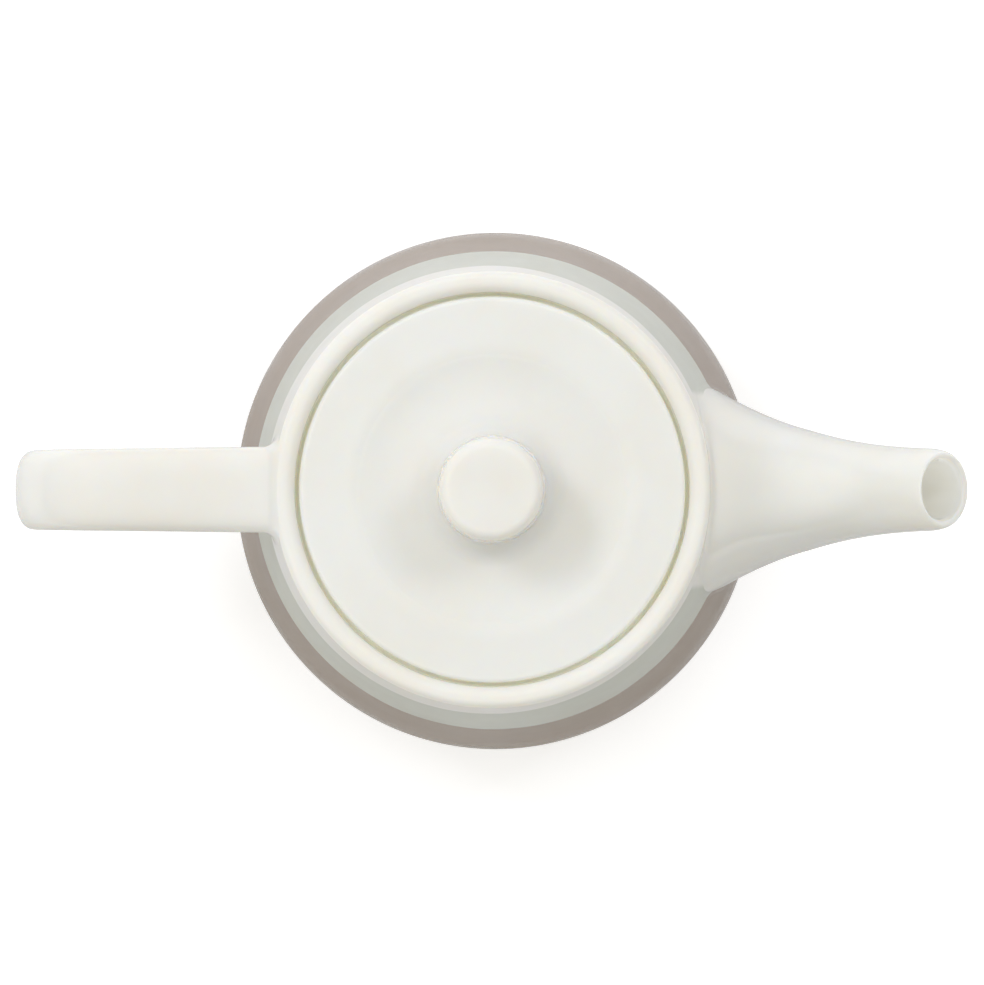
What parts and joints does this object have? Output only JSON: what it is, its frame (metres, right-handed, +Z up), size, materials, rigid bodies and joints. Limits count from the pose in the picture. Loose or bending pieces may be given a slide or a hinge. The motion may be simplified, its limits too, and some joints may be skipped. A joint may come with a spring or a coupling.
{
  "type": "teapot",
  "caption": "Glazed porcelain teapot with a tapering round body, two colour bands, an upturned spout, a strap handle and a loose dished lid with a round knob.",
  "frame": {"origin": "centre of the foot ring, on the plane that the pot stands on", "axes": "+Z up along the pot's axis, +X towards the spout, -X towards the handle"},
  "size_m": [0.2421, 0.137, 0.1315],
  "materials": {
    "pot_glaze": "clear glossy glaze over warm white porcelain, with a greyish taupe band and a pale green-grey band round the body; the foot ring's face is bare",
    "lid_glaze": "clear glossy glaze over warm white porcelain"
  },
  "bodies": {
    "root": {"pot": "pot_glaze", "lid": "lid_glaze"}
  },
  "joints": []
}
